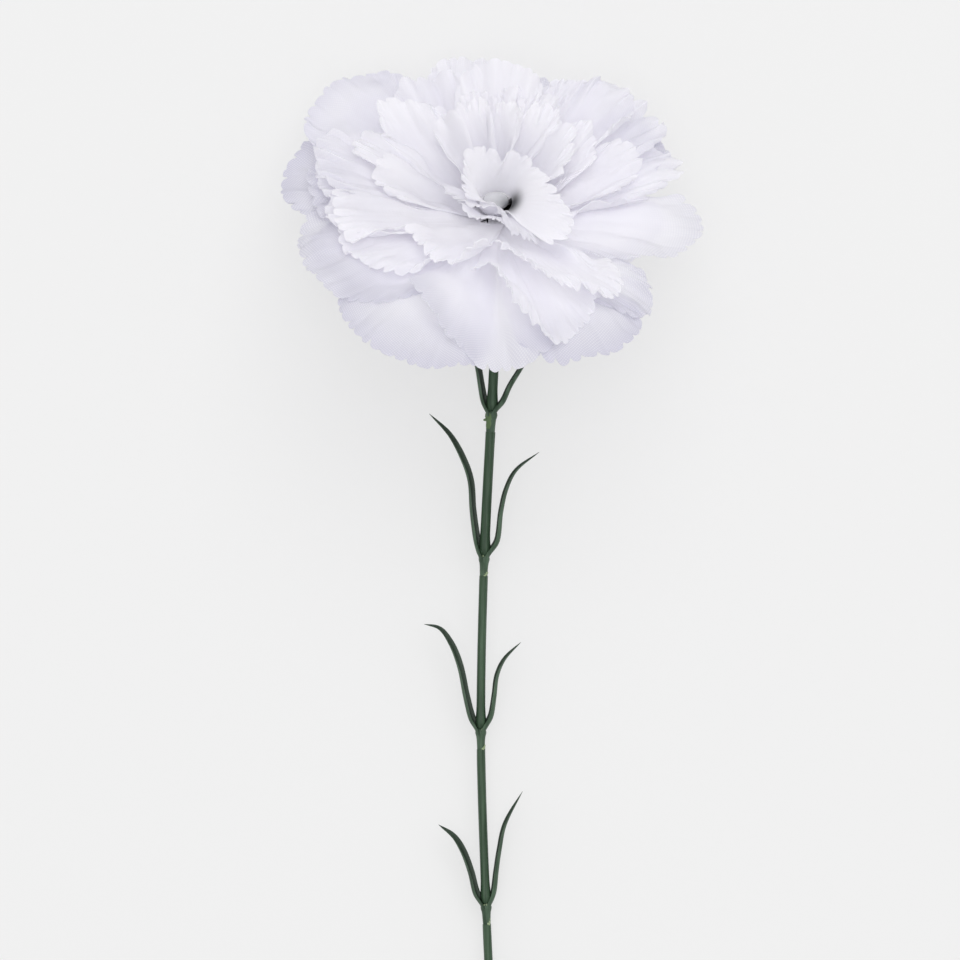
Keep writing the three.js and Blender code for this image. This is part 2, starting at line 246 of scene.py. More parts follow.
def unevenness(flat, rng):
    """A slow random surface over flat places in millimetres, between about -1 and 1."""
    total = np.zeros(flat.shape[:-1])
    for _ in range(9):
        wave = rng.uniform(6, 15)
        turn = rng.uniform(0, 2 * math.pi)
        way = np.array([math.cos(turn), math.sin(turn)]) * 2 * math.pi / wave
        total += np.sin(flat @ way + rng.uniform(0, 2 * math.pi))
    return total / 4


def plain_petal(petal, root, rim_line, height, along, across):
    """The petal without its folds: straight lines in plan from its root to its rim."""
    points, places, azimuths = rim_line
    turn = smooth_through(places, azimuths, across)
    share = np.clip((turn - azimuths[0]) / (azimuths[-1] - azimuths[0]), 0, 1)
    share = share if azimuths[-1] > azimuths[0] else (across + 1) / 2
    start = np.radians(root[0] + (root[1] - root[0]) * share)
    swing = np.radians(petal.sweep) * 4 * along * (1 - along)
    rim = [smooth_through(places, points[:, axis], across) for axis in range(3)]
    out = 2 * along * (1 - along) * (0.5 - 0.35 * petal.steep) + along**2
    up = 2 * along * (1 - along) * (0.5 + 0.42 * petal.steep) + along**2
    x = ROOT_RADIUS * np.cos(start) * (1 - out) + rim[0] * out
    y = ROOT_RADIUS * np.sin(start) * (1 - out) + rim[1] * out
    z = height * (1 - up) + rim[2] * up + 4 * petal.arch * along * (1 - along) * along
    z = z - 4 * petal.droop * along * (1 - along) * np.abs(across) ** 3
    swung = [x * np.cos(swing) - y * np.sin(swing), x * np.sin(swing) + y * np.cos(swing)]
    return np.stack([*swung, z], axis=-1)


def petal_normals(plain, along, side):
    """The plain petal's points and the directions straight out of its upper face."""
    step = 0.01
    base = plain(along, side)
    outward = plain(along + step, side) - base
    sideways = plain(along, side + step) - base
    edge_on = np.abs(side) > 0.985
    sideways[edge_on] = (base - plain(along, side - step))[edge_on]
    return base, unit(np.cross(outward, sideways))


def petal_rise(petal, along, side, flat, width, rng):
    """How far the petal's folds, ridges, curl, frill and ribs stand out of the plain petal."""
    rise = petal.fold * soft_waves(side, petal.waves, rng) * along**petal.grow
    for place, half_width, ridge in petal.ridges:
        rise = rise + ridge * np.exp(-(((side - place) / half_width) ** 2)) * along**1.2
    rise = rise + petal.crumple * unevenness(flat, rng) * np.minimum(1, 2 * along)
    edge = np.clip((along - RIM_START) / (1 - RIM_START), 0, 1)
    rise = rise + petal.curl * edge**2 * (0.7 + 0.5 * soft_waves(side, 1.2, rng))
    patchy = 0.35 + np.abs(soft_waves(side, 1.7, rng))
    rise = rise + petal.frill * patchy * edge**1.3 * soft_waves(side, 2 * width / petal.frill_wave, rng)
    return rise + petal.rib * along**2 * soft_waves(side, 2 * width / RIB_WAVE, rng)


def petal_surface(petal, root, height, rng):
    """Points of a petal's mesh in the bloom's frame, rows by columns, with their flat places."""
    rim_line, width = rim_places(petal.rim)
    plain = partial(plain_petal, petal, root, rim_line, height)
    middle = plain(np.linspace(0, 1, 30), np.zeros(30))
    length = np.linalg.norm(np.diff(middle, axis=0), axis=1).sum()
    across, top, shift_across, shift_along = petal_outline(petal, length, width, rng)
    rows = petal_rows()
    spread = 0.5 * width / length
    reach = length * (rows * top)
    near = np.exp(-(1 - rows) * top * length / TOOTH_FADE)
    flat_across = reach * np.sin(spread * across) + shift_across * near
    flat_along = reach * np.cos(spread * across) + shift_along * near
    flat = np.stack([flat_across, flat_along], axis=-1)
    along = np.hypot(flat_across, flat_along) / length
    side = np.arctan2(flat_across, flat_along) / spread
    base, normal = petal_normals(plain, along, side)
    rise = petal_rise(petal, along, side, flat, width, rng)
    return base + normal * rise[..., None], flat


class Pile:
    """How high the cloth stands so far over each place of the bloom's plane."""

    CELL = 0.8
    REACH = 62.0

    def __init__(self):
        size = int(2 * self.REACH / self.CELL) + 1
        self.height = np.full((size, size), NO_CLOTH)

    def cells(self, points):
        place = (points[..., :2] + self.REACH) / self.CELL
        cells = np.clip(np.rint(place).astype(int), 0, len(self.height) - 1)
        return cells[..., 0], cells[..., 1]

    def lay(self, points):
        """Adds a petal, with points between the mesh's own so that it leaves no gaps."""
        for axis in (0, 1):
            after = np.take(points, range(1, points.shape[axis]), axis)
            before = np.take(points, range(points.shape[axis] - 1), axis)
            points = np.concatenate([points, 0.5 * (after + before)], axis=axis)
        np.maximum.at(self.height, self.cells(points), points[..., 2])

    def lack(self, points):
        """How far each point lies under its place on the cloth below."""
        return self.height[self.cells(points)] + CLOTH_GAP - points[..., 2]

    def laid(self, points, settle):
        """The petal lowered towards the cloth below it, and raised wherever it would sink in."""
        rows = petal_rows()
        free = np.clip(rows / ROOT_PART, 0, 1)
        lack = self.lack(points)
        open_space = np.clip(-lack, 0, MOST_DROP) * (lack > -MOST_OPEN)
        points = points.copy()
        points[..., 2] -= settle * blurred(open_space, 10) * free * (1 - rows**3)
        points[..., 2] += blurred(widened(np.clip(self.lack(points), 0, MOST_LIFT)), 6) * free
        return points


def turned(flat, degrees):
    """Flat places turned about the root, as the petals of one disc of woven cloth are."""
    cosine, sine = math.cos(math.radians(degrees)), math.sin(math.radians(degrees))
    return flat @ np.array([[cosine, sine], [-sine, cosine]])


def petal_faces(numbers):
    """Faces over a grid of vertex numbers: wide ones near the root, then one per column."""
    wide = numbers[: ROOT_ROWS + 1, ::TOOTH_STEPS]
    faces = quads(wide)
    half = TOOTH_STEPS // 2
    for column, (left, right) in enumerate(zip(wide[-1, :-1], wide[-1, 1:])):
        fine = numbers[ROOT_ROWS + 1, column * TOOTH_STEPS: (column + 1) * TOOTH_STEPS + 1]
        for step in range(TOOTH_STEPS):
            faces.append((left if step < half else right, fine[step], fine[step + 1]))
        faces.append((left, fine[half], right))
    return faces + quads(numbers[ROOT_ROWS + 1:])


def layer_mesh(petals, level, pile, rng):
    """The vertices in the bloom's frame, flat places and faces of one layer of cloth.

    Each petal's own rows follow a row at the hole. Neighbours share their side vertices at
    the hole and the root, and nothing farther out.
    """
    height = level * LAYER_PITCH + LAYER_HALF_THICKNESS
    middles = [np.mean([azimuth for azimuth, _, _ in petal.rim]) for petal in petals]
    middles = [middles[-1] - 360, *middles, middles[0] + 360]
    vertices, flats, faces = [], [], []
    count = 0
    for index, petal in enumerate(petals):
        before, middle, after = middles[index: index + 3]
        root = petal.root or (0.5 * (before + middle), 0.5 * (middle + after))
        surface, flat = petal_surface(petal, root, height, rng)
        flat = turned(flat, root[0] / 2 + root[1] / 2 + level * WEAVE_TURN)
        surface = pile.laid(surface, petal.settle)
        surface[0, :, 2] = height
        pile.lay(surface)
        hole = surface[:1] * [HOLE_RADIUS / ROOT_RADIUS, HOLE_RADIUS / ROOT_RADIUS, 1]
        surface = np.concatenate([hole, surface])
        flat = np.concatenate([flat[:1] * HOLE_RADIUS / ROOT_RADIUS, flat])
        new = np.ones(surface.shape[:2], bool)
        new[: ROOT_ROWS + 1] = np.arange(new.shape[1]) % TOOTH_STEPS == 0
        new[:2, 0] = index == 0
        new[:2, -1] = index < len(petals) - 1
        numbers = np.zeros(new.shape, int)
        numbers[new] = np.arange(count, count + new.sum())
        if index > 0:
            numbers[:2, 0] = last_side
        else:
            first_side = numbers[:2, 0]
        if index == len(petals) - 1:
            numbers[:2, -1] = first_side
        last_side = numbers[:2, -1]
        vertices.append(surface[new])
        flats.append(flat[new])
        faces += petal_faces(numbers)
        count += new.sum()
    return np.concatenate(vertices), np.concatenate(flats), faces


def above_surface(points):
    """Points in the row frame, kept softly over the surface that the flower lies on."""
    height = points[:, 2] - FLOOR_CLEARANCE
    points = points.copy()
    points[:, 2] = FLOOR_CLEARANCE + 0.5 * (height + np.sqrt(height**2 + FLOOR_SOFTNESS**2))
    return points


# Features that several petals share.
SMOOTH = dict(notch=1.0, frill=0.25, rib=0.03)
PLEATED = dict(rib=0.12, settle=1, droop=1.6)
TORN = dict(waves=2.6, ragged=0.35, frill_wave=6)
FINE_FRILL = dict(frill=0.5, frill_wave=9, rib=0.04)
CROWN = dict(waves=2.2, fold=1.0, tooth=2.0, ragged=0.6, frill=1.2, steep=0.4, grow=2.2, frill_wave=5,
             curl=-1.8, rib=0.04, settle=0, arch=0.6)
COLLAR = dict(tooth=2.2, corner=0.04, arch=0.2, settle=0, droop=0)
RING = dict(tooth=2.0, ragged=0.5, fold=0.7, waves=1.2, steep=0.1, frill=0.8, frill_wave=6, curl=-2.2,
            rib=0.04, settle=0, arch=-4.2)

# The eight layers, from the back of the flower to its centre. Azimuths run from the
# flower's left, seen from above with the stem towards the viewer, by way of its front.
LAYERS = [[
    Petal([(0, 42, 3), (12, 44, 2), (26, 44, 1), (40, 43, 0), (48, 40, 0)], rib=0.04),
    Petal([(32, 44.6, 1), (39, 46.8, 0.5), (48, 49.5, 0), (56, 51.2, -0.2), (65, 50.6, -1),
        (75, 48.4, -2.5), (84, 45, -4.5), (92, 40, -6)], ridges=((0.35, 0.16, -1.6), (-0.3, 0.2, 0.8)),
        fold=0.8, corner=0.04, **SMOOTH),
    Petal([(96, 44, 0), (104, 48.4, 0), (112, 50.4, 0), (121, 52, 0), (129, 51.2, 0.5), (137, 47.5, 1)],
        ridges=((-0.3, 0.25, -1.4), (0.2, 0.3, 1.0)), fold=0.8, corner=0.05, **SMOOTH),
    Petal([(146, 34, 1), (160, 37, 1.5), (175, 39, 2), (190, 40, 3)]),
    Petal([(188, 42, 4), (204, 45, 5), (218, 45, 5), (234, 42, 5)]),
    Petal([(230, 42, 3), (243, 45, 2), (257, 45, 2), (270, 42, 3)]),
    Petal([(266, 42, 3), (280, 46, 3), (297, 46, 3), (311, 43, 4)]),
    Petal([(312, 44, 5), (326, 48, 6.5), (336, 50.4, 7), (344, 51.8, 6.5), (351, 51, 5.2), (358, 49, 4),
        (364, 45.5, 3.2)], ridges=((0.35, 0.3, -3.0),), fold=1.0, notch=1.0, corner=0.15, frill=0.3,
        rib=0.04),
], [
    Petal([(355, 42.5, 6), (5, 46.2, 4.8), (18, 47, 3.2), (31, 46.4, 1.8), (40, 45, 1.5), (46, 42, 2),
        (53, 38, 2.5), (59, 33, 3)], ridges=((-0.55, 0.32, -3.4), (0.12, 0.22, 1.6), (0.62, 0.2, -1.0)),
        fold=0.6, corner=0.06, **SMOOTH),
    Petal([(53, 35, 7), (64, 38.4, 4.8), (74, 41.4, 2.8), (81, 43.6, 1.6), (87, 46, 0.6), (94, 47, 0.2),
        (101, 47.6, 0), (107, 46, 0.5), (112, 42, 1.5)], ridges=((0.1, 0.36, -5.0), (-0.62, 0.22, 2.2)),
        fold=0.4, corner=0.05, arch=1.0, **SMOOTH),
    Petal([(126, 42, 1), (133, 47.6, 0.5), (140, 46.5, 1), (146, 43, 2), (152, 38, 3)],
        ridges=((0.1, 0.3, -2.4),), fold=0.8, notch=1.0, corner=0.1),
    Petal([(137, 22, 7.5), (147, 31, 6), (156, 38.5, 5), (165.6, 45.2, 4.5), (174, 48, 4.2),
        (182, 47.2, 4.5), (189, 44.5, 5.5)], ridges=((0.2, 0.5, -2.2),), fold=0.3, frill=0.2, notch=1.0,
        corner=0.04, curl=-1.8, arch=1.2, rib=0.02),
    Petal([(190, 42, 7), (205, 44, 8.5), (220, 43, 9.5), (236, 40, 10)], fold=1.8, frill=0.9, ragged=0.25,
        settle=1),
    Petal([(234, 38, 11), (250, 41, 12), (268, 41.5, 12.5), (286, 41, 12)]),
    Petal([(284, 43, 12), (300, 45, 12.5), (316, 46.5, 12), (332, 46, 11)]),
    Petal([(330, 46, 9.5), (346, 45, 8), (361, 42, 6.5), (374, 41, 5.5)]),
], [
    Petal([(8, 39, 6.4), (20, 38, 5.4), (31, 36.5, 5), (40, 34.5, 5), (47, 31, 5.2), (53, 25, 6)], fold=0.7,
        frill=0.9, corner=0.08, ragged=0.2, rib=0.06),
    Petal([(77, 27, 9), (87, 24, 9.5), (94, 28, 8.5), (97.5, 33.5, 7), (100.5, 38.5, 5.5), (106, 47, 2.5),
        (111, 45.6, 3), (118, 42.6, 4), (128, 39, 5)], ridges=((0.15, 0.14, 1.2), (0.62, 0.22, -2.4)),
        corner=0.02, fold=0.3, arch=0.6, frill=0.6, tooth=2.8, ragged=0.25),
    Petal([(177, 23.8, 7.2), (183, 34, 7), (189.2, 41.6, 7.4), (195.5, 46.6, 7.8), (200, 46, 8.6),
        (206, 42, 9.5)], waves=2.2, fold=1.7, frill=1.3, ragged=0.35, notch=1.5, tooth=2.6, corner=0.05,
        **PLEATED),
    Petal([(226, 40, 15), (240, 38.8, 16), (254, 37, 17)], fold=0.7, arch=1.0, steep=-0.2),
    Petal([(252, 36.5, 16.5), (266, 40, 17.4), (277, 41.6, 17.4), (288, 42.8, 17.6), (298, 42.0, 18.4)],
        waves=3.0, fold=0.9, arch=1.0, steep=-0.2, notch=1.0, grow=2.5, curl=-1.4),
    Petal([(298, 43, 17), (306, 47.5, 17), (317, 50.2, 16), (327, 50.8, 14.5), (336, 49.5, 12.5),
        (342, 46, 11)], waves=2.2, fold=1.2, arch=1.5, steep=-0.1, frill=0.7, corner=0.12, notch=1.0,
        rib=0.03, curl=-1.4, crumple=0.9, frill_wave=11),
    Petal([(336, 45, 11), (348, 43, 9.5), (359, 40, 8.5), (369, 38, 7.8)], fold=1.2, frill=1.4, ragged=0.3,
        tooth=2.6),
], [
    Petal([(356, 41, 8.6), (6, 40, 7.8), (14, 37.8, 7.4), (22, 33, 7.4), (30, 27, 7.8)], fold=0.8,
        frill=1.3, ragged=0.3, tooth=2.6, settle=0.85),
    Petal([(97, 13.5, 8.8), (103, 19, 9), (108, 25, 9.4), (114, 32, 9.8), (121, 38, 9.8), (127, 43.6, 9.2),
        (132, 42, 9.2), (139, 35, 9.4)], tooth=1.9, notch=1.1, curl=-2.2, fold=0.5, corner=0.04, arch=0.4,
        rib=0.1),
    Petal([(202, 40.6, 9.6), (208.7, 45.8, 11), (216, 46.4, 12), (223, 44, 13.2), (230, 39, 15)], fold=1.8,
        frill=1.2, ragged=0.3, notch=1.3, corner=0.1, **PLEATED),
    Petal([(222, 41, 16), (236, 38.5, 17.5), (251, 34, 18)], fold=0.9, grow=2.5),
    Petal([(246, 30.5, 18.6), (262, 32.5, 19.4), (278, 33.2, 19.4)], waves=2.4, fold=1.2, **FINE_FRILL),
    Petal([(276, 33, 19.2), (290, 36.5, 18.4), (304, 39, 17), (316, 39, 16)], waves=2.8, fold=1.4,
        **FINE_FRILL),
    Petal([(328, 43, 13), (338, 44.5, 11.8), (347, 43, 10.8), (357, 40, 10), (365, 37, 9.3)], fold=1.4,
        frill=1.7, tooth=2.6, crumple=0.7, **TORN),
], [
    Petal([(359, 37.8, 8.6), (9, 38.6, 7.8), (17, 38, 7.4), (22.5, 36, 7.2), (23.5, 30, 7.6),
        (26, 24.4, 8.2), (38, 23.8, 8.2), (50, 24.6, 8), (59, 25.8, 7.8), (67, 25.2, 7.8), (73, 19, 9),
        (79, 16, 9.8)], waves=2.4, fold=0.5, frill=0.8, corner=0.02, ragged=0.35, arch=1.0, rib=0.06,
        tooth=2.6),
    Petal([(178, 21.8, 8.4), (185, 30.1, 9), (193, 34.6, 10.2), (202, 36, 12.2), (212, 35, 14.5)], fold=1.7,
        frill=1.1, ragged=0.3, **PLEATED),
    Petal([(210, 36, 14.5), (218, 41.5, 14.5), (226, 43.5, 15.2), (233, 40.5, 17), (241, 35, 18)], fold=1.5,
        ragged=0.3, frill=1.2, rib=0.06, settle=0.9, droop=1.6),
    Petal([(238, 27.4, 21.6), (250, 29.2, 23.8), (266, 30, 24.8), (281, 30, 24.4), (296, 28.4, 22)],
        waves=3.2, fold=1.1, frill=0.5, frill_wave=8, ragged=0.3, tooth=2.6, rib=0.04, settle=0.1,
        curl=-1.2, steep=0.3, arch=0.6, crumple=0.3),
    Petal([(296, 25, 18.5), (306, 26, 19), (314, 30.5, 18.8), (322, 35, 18), (328, 33, 16.5)], fold=0.5,
        corner=0.08, ragged=0.25, notch=1.0, sweep=3, curl=0.8, droop=5, settle=0.9),
    Petal([(326, 32, 16), (334, 35, 14.5), (341, 35.2, 12.6), (346, 31.4, 10.8)], fold=1.5, frill=1.9,
        tooth=2.4, crumple=0.8, **TORN),
], [
    Petal([(197, 19.7, 9.8), (202.4, 24.7, 11.6), (209.7, 27.4, 14), (218, 28, 16.6), (228, 27.5, 18.5)],
        waves=2.2, fold=1.5, tooth=2.4, ragged=0.3, frill=1.1, rib=0.1, settle=1, droop=1.4),
    Petal([(226, 25, 19.8), (236, 24.8, 21.6), (245, 24, 22.6), (254, 23.2, 23)], **CROWN),
    Petal([(248, 23.4, 22.8), (261, 22.8, 23.2), (274, 22.8, 23)], **CROWN),
    Petal([(268, 23, 22.8), (280, 23, 22.6), (291, 22.8, 21.8), (301, 22.6, 20.6)], **CROWN),
    Petal([(336, 27, 13.6), (345, 29, 12.8), (351.5, 29, 10.8), (358.5, 26, 9.6), (365.5, 21.8, 9)],
        waves=1, fold=0.5, ragged=0.3, frill=0.8, corner=0.08, settle=0.85, droop=2.2),
    Petal([(374, 10.5, 9.4), (398, 9.6, 8.8), (424, 9, 8.4), (450, 9, 8), (470, 11, 7.8)], tooth=2.0,
        ragged=0.5, fold=0.6, waves=1.6, frill=0.6, frill_wave=5, curl=-1.0, corner=0.06, arch=0.2,
        steep=0.3, settle=0, droop=0),
], [
    Petal([(-10, 13.6, 11), (0, 12.4, 10.8), (12, 10, 10.2), (30, 8.2, 10), (58, 6.6, 9.9), (84, 5.6, 9.4),
        (100, 5.8, 8.6), (110, 7.6, 8)], ragged=0.3, fold=0.2, steep=0.7, curl=-0.6, **COLLAR),
    Petal([(98, 6, 7.2), (107, 11, 7.4), (114, 16, 7.8), (120, 21, 8.4)], ragged=0.4, fold=0.3, steep=0.3,
        **COLLAR),
    Petal([(192, 13, 13.4), (199, 17, 16.2), (207, 19.6, 18.8), (215, 20.8, 20.6), (223, 20, 21.8)],
        corner=0.04, droop=-3.2, **RING),
    Petal([(217, 20.2, 21.6), (228, 19.8, 23.2), (239, 18.4, 24), (249, 17, 24)], droop=-3.4, **RING),
    Petal([(243, 17.4, 23.6), (254, 16.6, 24.2), (265, 16.4, 24.2), (276, 16.6, 23.6)], droop=-3.4, **RING),
    Petal([(270, 17, 23.4), (281, 18, 23), (292, 19.4, 21.8), (303, 21, 20)], droop=-3.2, **RING),
    Petal([(298, 20.6, 20), (306, 22, 18.8), (313, 21.6, 17), (319, 17.6, 15)], waves=1.2, fold=0.6,
        tooth=2.2, ragged=0.4, steep=0.4, frill=0.5, frill_wave=7, rib=0.04, corner=0.05, settle=0.2,
        arch=-1, droop=-1.0),
], [
    Petal([(123, 24.4, 9.2), (133, 24.8, 10.6), (144, 22.6, 12.3), (153, 18.4, 13), (165, 14.6, 13.6),
        (182, 12, 14), (202, 10.2, 14), (225, 9.9, 14.4), (240, 9.4, 14.2), (256, 6.9, 13.2),
        (268, 7.8, 14.2), (283, 9.2, 15.4), (300, 10.6, 15.6), (312, 11.2, 15), (323, 9.6, 13.8),
        (338, 8.6, 12.8), (355, 8.3, 11.6), (369, 8.0, 10.6), (380, 7.4, 10.0)], root=(106, 466), steep=0.8,
        fold=0.3, arch=0.0, tooth=2.3, ragged=0.35, corner=0.03, curl=0.5, crumple=0.2, settle=0, droop=0),
]]


# ---- materials ----

FLAT_MAP = "flat"
THREAD_SPACING = 0.47
WAVES_PER_UNIT = 0.314  # the wave texture repeats this many units apart at scale 1
TRANSLUCENT_SHARE = 0.62  # of the cloth's light that goes through it
THROAT = np.array([-3.6, 1.9, 7.9])  # the middle of the throat's painted shade, in the bloom's frame
# The throat's painted shade: where it starts and ends, how dark it gets, its softness and colour.
PAINTED_THROAT_SHADE_START = 0.3
PAINTED_THROAT_SHADE_REACH = 5.8
PAINTED_THROAT_SHADE_STRENGTH = 0.93
PAINTED_THROAT_SHADE_SOFTNESS = 1.9
PAINTED_THROAT_SHADE_COLOUR = (0.024, 0.027, 0.04)
# Distances from a petal's root over which the weave comes to show, the painted shade of the
# outer rims sets in and the painted shade at the root fades.
WEAVE_SHOWS = (26, 46)
PAINTED_RIM_SHADE = (41, 50)
PAINTED_ROOT_SHADE_FADES = (9, 23)

# Places on a leaf pair's map: the back and the hollow of its leaves, its sleeve, and the
# torn plastic that is left where it was cut from its frame, green or pale.
BACK, INSIDE, SLEEVE_SKIN, SCAR, SPECK = 0.1, 0.9, 0.4, 1.6, 2.6


class Shading:
    """A material with a Principled shader, and the kinds of node that the materials share."""

    def __init__(self, name, colour, roughness, specular):
        self.material = bpy.data.materials.new(name)
        self.material.use_nodes = True
        self.nodes = self.material.node_tree.nodes
        self.shader = self.nodes["Principled BSDF"]
        self.shader.inputs["Base Color"].default_value = (*colour, 1)
        self.shader.inputs["Roughness"].default_value = roughness
        self.shader.inputs["Specular IOR Level"].default_value = specular

    def fill(self, node, values):
        """Links a node's inputs to the sockets in values, and sets the others to its numbers."""
        for name, value in values.items():
            if isinstance(value, bpy.types.NodeSocket):
                self.material.node_tree.links.new(value, node.inputs[name])
            else:
                node.inputs[name].default_value = value

    def add(self, kind, values):
        node = self.nodes.new(kind)
        self.fill(node, values)
        return node

    def place(self):
        """Each point's place in the row frame, in metres."""
        return self.nodes.new("ShaderNodeTexCoord").outputs["Object"]

    def flat(self):
        """Each point's place on the piece's flat map."""
        node = self.nodes.new("ShaderNodeUVMap")
        node.uv_map = FLAT_MAP
        return node.outputs["UV"]

    def combined(self, operation, first, second):
        node = self.add("ShaderNodeMath", {0: first, 1: second})
        node.operation = operation
        return node.outputs[0]

    def ranged(self, value, low, high, start, end, step="SMOOTHSTEP"):
        """A value that runs from start to end while its source runs from low to high."""
        node = self.add("ShaderNodeMapRange", {0: value, 1: low, 2: high, 3: start, 4: end})
        node.interpolation_type = step
        return node.outputs[0]

    def mixed(self, colour, factor, second):
        """The colour socket mixed by the factor socket with a second, constant colour."""
        node = self.nodes.new("ShaderNodeMix")
        node.data_type = "RGBA"
        self.fill(node, {"Factor": factor, "A": colour, "B": (*second, 1)})
        return node.outputs["Result"]

    def noise(self, vector, scale, detail):
        node = self.add("ShaderNodeTexNoise", {"Vector": vector, "Scale": scale, "Detail": detail})
        return node.outputs["Fac"]

    def ramp(self, factor, low, high):
        """A colour that runs from one (place, colour) stop to the other."""
        node = self.add("ShaderNodeValToRGB", {"Fac": factor})
        for stop, (place, colour) in zip(node.color_ramp.elements, (low, high)):
            stop.position = place
            stop.color = (*colour, 1)
        return node.outputs["Color"]

    def bump(self, height, strength, distance):
        values = {"Height": height, "Strength": strength, "Distance": distance * MM}
        node = self.add("ShaderNodeBump", values)
        self.fill(self.shader, {"Normal": node.outputs["Normal"]})

    def painted_throat_shade(self, colour):
        """The colour socket, darkened softly about the throat's middle by painted shade."""
        away = self.add("ShaderNodeVectorMath", {0: self.place(), 1: from_bloom(THROAT) * MM})
        away.operation = "DISTANCE"
        near = self.ranged(away.outputs["Value"], PAINTED_THROAT_SHADE_START * MM, PAINTED_THROAT_SHADE_REACH * MM, PAINTED_THROAT_SHADE_STRENGTH, 0)
        return self.mixed(colour, self.combined("POWER", near, PAINTED_THROAT_SHADE_SOFTNESS), PAINTED_THROAT_SHADE_COLOUR)


def petal_cloth(name, weave_depth, painted_throat_shade=False, root_painted_shade=0.0):
    """Fine white polyester with a plain weave, which shows most towards a long petal's rim.

    The flat map holds each point's place on the flat petal, in millimetres from its root.
    Cloth for the centre has painted shade that darkens it about the middle of the flower's throat,
    and a petal's root can be greyed against its rim by an amount of painted shade. The outer rims
    have a darker, bluer painted shade.
    """
    cloth = Shading(name, (0.97, 0.967, 0.985), 0.8, 0.25)
    cloth.fill(cloth.shader, {"Sheen Weight": 0.25, "Sheen Roughness": 0.5})
    flat = cloth.flat()
    length = cloth.add("ShaderNodeVectorMath", {0: flat})
    length.operation = "LENGTH"
    outwards = length.outputs["Value"]
    threads = []
    for direction in ("X", "Y"):
        values = {"Vector": flat, "Scale": WAVES_PER_UNIT / THREAD_SPACING, "Distortion": 0.3}
        wave = cloth.add("ShaderNodeTexWave", values)
        wave.bands_direction = direction
        threads.append(wave.outputs["Fac"])
    weave = cloth.combined("MULTIPLY", *threads)
    gaps = cloth.combined("SUBTRACT", 1, weave)
    gaps = cloth.combined("MULTIPLY", gaps, cloth.ranged(outwards, *WEAVE_SHOWS, 0.1, 1))
    gaps = cloth.combined("MULTIPLY", gaps, weave_depth)

    tone = cloth.noise(cloth.place(), 90, 3)
    colour = cloth.ramp(tone, (0.35, (0.977, 0.973, 0.991)), (0.65, (0.99, 0.986, 0.999)))
    colour = cloth.mixed(colour, gaps, (0.5, 0.49, 0.62))
    # painted shade: the outer rims of long petals darker and bluer
    colour = cloth.mixed(colour, cloth.ranged(outwards, *PAINTED_RIM_SHADE, 0, 0.2), (0.6, 0.58, 0.74))
    # painted shade: a petal's root greyer than its rim, for the shade in the hollows
    if root_painted_shade:
        shade = cloth.ranged(outwards, *PAINTED_ROOT_SHADE_FADES, root_painted_shade, 0)
        colour = cloth.mixed(colour, shade, (0.74, 0.73, 0.79))
    # painted shade: the cloth dark about the middle of the throat
    if painted_throat_shade:
        colour = cloth.painted_throat_shade(colour)
    cloth.fill(cloth.shader, {"Base Color": colour})
    cloth.bump(weave, 0.5, 0.06)
    glow = cloth.add("ShaderNodeBsdfTranslucent", {"Color": colour})
    shaders = {0: TRANSLUCENT_SHARE, 1: cloth.shader.outputs[0], 2: glow.outputs[0]}
    blend = cloth.add("ShaderNodeMixShader", shaders)
    cloth.fill(cloth.nodes["Material Output"], {"Surface": blend.outputs[0]})
    return cloth.material


def moulded(name, dark, light, across, along, roughness):
    """Moulded plastic, whose tone changes so often per metre across the plant and along it."""
    plastic = Shading(name, light, roughness, 0.3)
    stretched = {"Vector": plastic.place(), "Scale": (across, along, across)}
    vector = plastic.add("ShaderNodeMapping", stretched).outputs["Vector"]
    colour = plastic.ramp(plastic.noise(vector, 1, 4), (0.32, dark), (0.68, light))
    plastic.fill(plastic.shader, {"Base Color": colour})
    plastic.bump(plastic.noise(plastic.place(), 2600, 2), 0.25, 0.05)
    return plastic, colour


def stem_plastic():
    return moulded("stem_plastic", (0.019, 0.044, 0.0215), (0.05, 0.094, 0.052), 1600, 40, 0.42)[0].material


def calyx_plastic():
    return moulded("calyx_plastic", (0.056, 0.102, 0.047), (0.082, 0.14, 0.068), 1100, 500, 0.45)[0].material


def leaf_plastic():
    """Green plastic with painted shade darkening a leaf's hollow against its back, and olive where torn."""
    plastic, colour = moulded("leaf_plastic", (0.024, 0.05, 0.027), (0.074, 0.124, 0.078), 900, 140, 0.42)
    mark = plastic.add("ShaderNodeSeparateXYZ", {"Vector": plastic.flat()}).outputs["X"]
    for low, high, tint, most in (
        # painted shade in the hollow of each leaf
        (0.5, INSIDE, (0.014, 0.024, 0.016), 0.7),
        (1.1, 1.5, (0.1, 0.165, 0.068), 0.9),
        (2.1, 2.5, (0.3, 0.37, 0.22), 0.85),
    ):
        colour = plastic.mixed(colour, plastic.ranged(mark, low, high, 0, most, "LINEAR"), tint)
    plastic.fill(plastic.shader, {"Base Color": colour})
    return plastic.material


def peg_plastic():
    """Natural white plastic with painted shade: grey all over, and dark in the throat like the cloth."""
    # the grey is painted shade, so that the lit head matches the shaded throat round it
    plastic, colour = moulded("peg_plastic", (0.54, 0.54, 0.57), (0.62, 0.62, 0.65), 500, 500, 0.6)
    plastic.fill(plastic.shader, {"Base Color": plastic.painted_throat_shade(colour)})
    return plastic.material


def wire_steel():
    steel = Shading("wire_steel", (0.42, 0.43, 0.44), 0.35, 0.5)
    marks = steel.noise(steel.place(), 1500, 2)
    colour = steel.ramp(marks, (0, (0.25, 0.25, 0.26)), (1, (0.55, 0.56, 0.58)))
    steel.fill(steel.shader, {"Metallic": 1, "Base Color": colour})
    return steel.material


# ---- pieces ----


